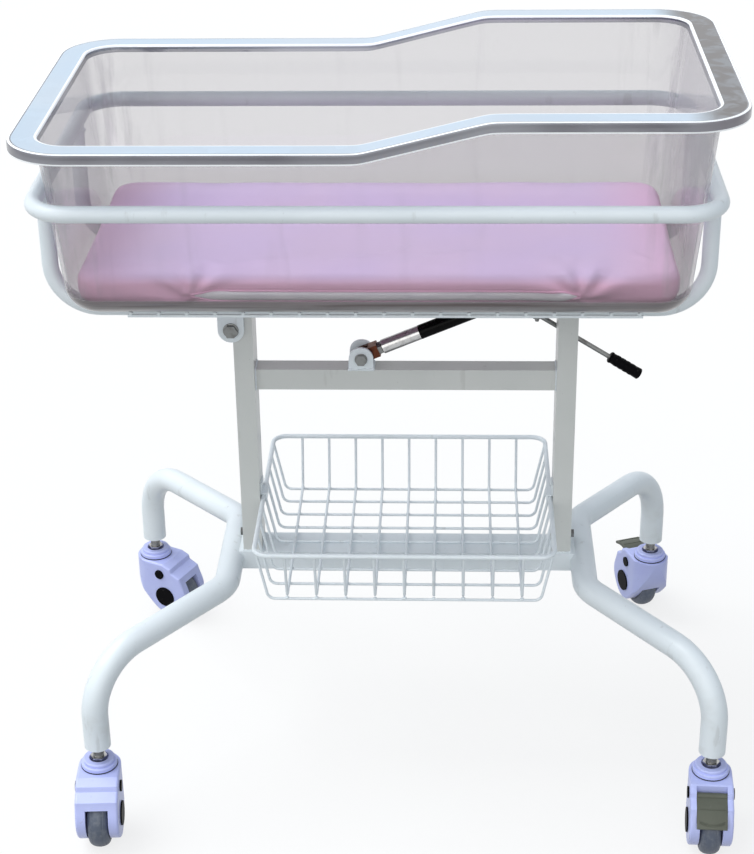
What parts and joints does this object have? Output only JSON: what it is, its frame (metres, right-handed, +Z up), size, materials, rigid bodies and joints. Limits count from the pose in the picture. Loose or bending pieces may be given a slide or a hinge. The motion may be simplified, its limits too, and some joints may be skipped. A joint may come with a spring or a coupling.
{
  "type": "hospital bassinet",
  "caption": "Hospital bassinet: clear removable tub with mattress in a tilting tube cradle on a two-post frame, with gas spring, wire basket and braked swivel casters.",
  "frame": {"origin": "on the floor, under the middle of the footprint box", "axes": "+Z up, +X towards the head end where the tub's rim is high, -Y towards the front"},
  "size_m": [0.8259, 0.6529, 0.897],
  "materials": {
    "frame_paint": "satin powder coat",
    "post_paint": "satin powder coat",
    "zinc": "zinc plated",
    "copper": "copper-toned plating",
    "bright": "bright steel",
    "black_paint": "gloss black paint",
    "black_plastic": "matt",
    "clear_plastic": "clear acrylic",
    "mattress_cover": "woven cover",
    "caster_plastic": "lilac grey",
    "tread": "grey tread",
    "hub_plastic": "grey",
    "pedal_plastic": "olive grey"
  },
  "bodies": {
    "base_frame": {"left_leg": "frame_paint", "right_leg": "frame_paint", "base_beam": "frame_paint", "left_post": "post_paint", "right_post": "post_paint", "post_caps": "post_paint", "post_spigots": "zinc", "post_screws": "zinc", "rest_pad": "black_plastic", "crossbar": "frame_paint", "hinge_bush": "zinc", "spring_bracket": "frame_paint", "spring_bolt": "zinc", "basket_rim": "frame_paint", "basket_lengthwise_wires": "frame_paint", "basket_crosswise_wires": "frame_paint", "basket_hooks": "frame_paint", "leg_inserts": "black_plastic", "caster_stems": "zinc", "caster_collars": "caster_plastic"},
    "cradle": {"cradle_ring": "frame_paint", "front_rail": "frame_paint", "rear_rail": "frame_paint", "hinge_crossmember": "frame_paint", "rest_crossmember": "frame_paint", "spring_crossmember": "frame_paint", "deck_wires": "frame_paint", "hinge_ears": "frame_paint", "hinge_bolt": "zinc", "head_bracket": "frame_paint", "lever_bracket": "frame_paint", "bracket_pins": "zinc"},
    "tub": {"tub_shell": "clear_plastic"},
    "mattress_pad": {"mattress": "mattress_cover"},
    "gas_cylinder": {"spring_fork": "copper", "spring_locknut": "zinc", "spring_sleeve": "bright", "spring_cylinder": "black_paint"},
    "gas_rod": {"spring_rod": "bright", "spring_eye": "copper"},
    "release_lever": {"lever_arm": "frame_paint", "lever_grip": "black_plastic"},
    "fl_caster": {"fl_housing": "caster_plastic", "fl_pins": "black_plastic"},
    "fl_wheel": {"fl_tyre": "tread", "fl_hub": "hub_plastic"},
    "fr_caster": {"fr_housing": "caster_plastic", "fr_pins": "black_plastic"},
    "fr_wheel": {"fr_tyre": "tread", "fr_hub": "hub_plastic"},
    "fr_brake_pedal": {"fr_pedal": "pedal_plastic"},
    "rl_caster": {"rl_housing": "caster_plastic", "rl_pins": "black_plastic"},
    "rl_wheel": {"rl_tyre": "tread", "rl_hub": "hub_plastic"},
    "rr_caster": {"rr_housing": "caster_plastic", "rr_pins": "black_plastic"},
    "rr_wheel": {"rr_tyre": "tread", "rr_hub": "hub_plastic"},
    "rr_brake_pedal": {"rr_pedal": "pedal_plastic"}
  },
  "joints": [
    {"name": "tilt", "type": "hinge", "parent": "base_frame", "child": "cradle", "pos_m": [-0.1972, -0.007, 0.5715], "axis": [0, -1, 0], "range_deg": [0, 12]},
    {"name": "gas_cylinder_pivot", "type": "hinge", "parent": "base_frame", "child": "gas_cylinder", "pos_m": [-0.0408, -0.007, 0.5272], "axis": [0, -1, 0], "range_deg": [0, 18]},
    {"name": "gas_rod_slide", "type": "slide", "parent": "gas_cylinder", "child": "gas_rod", "axis": [0.9199, 0, 0.3922], "range_m": [0, 0.025]},
    {"name": "release_lever_pivot", "type": "hinge", "parent": "cradle", "child": "release_lever", "pos_m": [0.1614, 0.023, 0.6], "axis": [0, -1, 0], "range_deg": [0, 8], "stiffness_Nm_per_rad": 1.2, "springref_deg": -17.19},
    {"name": "tub_lift_out", "type": "slide", "parent": "cradle", "child": "tub", "axis": [0, 0, 1], "range_m": [0, 0.3]},
    {"name": "mattress_lift_out", "type": "slide", "parent": "tub", "child": "mattress_pad", "axis": [0, 0, 1], "range_m": [0, 0.3]},
    {"name": "fl_swivel", "type": "hinge", "parent": "base_frame", "child": "fl_caster", "pos_m": [-0.3576, -0.2595, 0.09], "axis": [0, 0, 1], "continuous": true},
    {"name": "fl_wheel_spin", "type": "hinge", "parent": "fl_caster", "child": "fl_wheel", "pos_m": [-0.35606, -0.28896, 0.0375], "axis": [0.9986, 0.0523, 0], "continuous": true},
    {"name": "fr_swivel", "type": "hinge", "parent": "base_frame", "child": "fr_caster", "pos_m": [0.3844, -0.2595, 0.09], "axis": [0, 0, 1], "continuous": true},
    {"name": "fr_wheel_spin", "type": "hinge", "parent": "fr_caster", "child": "fr_wheel", "pos_m": [0.38286, -0.28896, 0.0375], "axis": [0.9986, -0.0523, 0], "continuous": true},
    {"name": "fr_brake", "type": "hinge", "parent": "fr_caster", "child": "fr_brake_pedal", "pos_m": [0.38252, -0.29545, 0.082], "axis": [-0.9986, 0.0523, 0], "range_deg": [0, 32]},
    {"name": "rl_swivel", "type": "hinge", "parent": "base_frame", "child": "rl_caster", "pos_m": [-0.3576, 0.2455, 0.09], "axis": [0, 0, 1], "continuous": true},
    {"name": "rl_wheel_spin", "type": "hinge", "parent": "rl_caster", "child": "rl_wheel", "pos_m": [-0.3312, 0.23234, 0.0375], "axis": [0.4462, 0.8949, 0], "continuous": true},
    {"name": "rr_swivel", "type": "hinge", "parent": "base_frame", "child": "rr_caster", "pos_m": [0.3564, 0.2455, 0.09], "axis": [0, 0, 1], "continuous": true},
    {"name": "rr_wheel_spin", "type": "hinge", "parent": "rr_caster", "child": "rr_wheel", "pos_m": [0.34631, 0.27322, 0.0375], "axis": [-0.9397, -0.342, 0], "continuous": true},
    {"name": "rr_brake", "type": "hinge", "parent": "rr_caster", "child": "rr_brake_pedal", "pos_m": [0.34409, 0.27933, 0.082], "axis": [-0.9397, -0.342, 0], "range_deg": [0, 32]}
  ],
  "couplings": [
    {"joint": "gas_cylinder_pivot", "follows": "tilt", "ratio": 1.478},
    {"joint": "gas_rod_slide", "follows": "tilt", "m_per_rad": 0.11557}
  ]
}
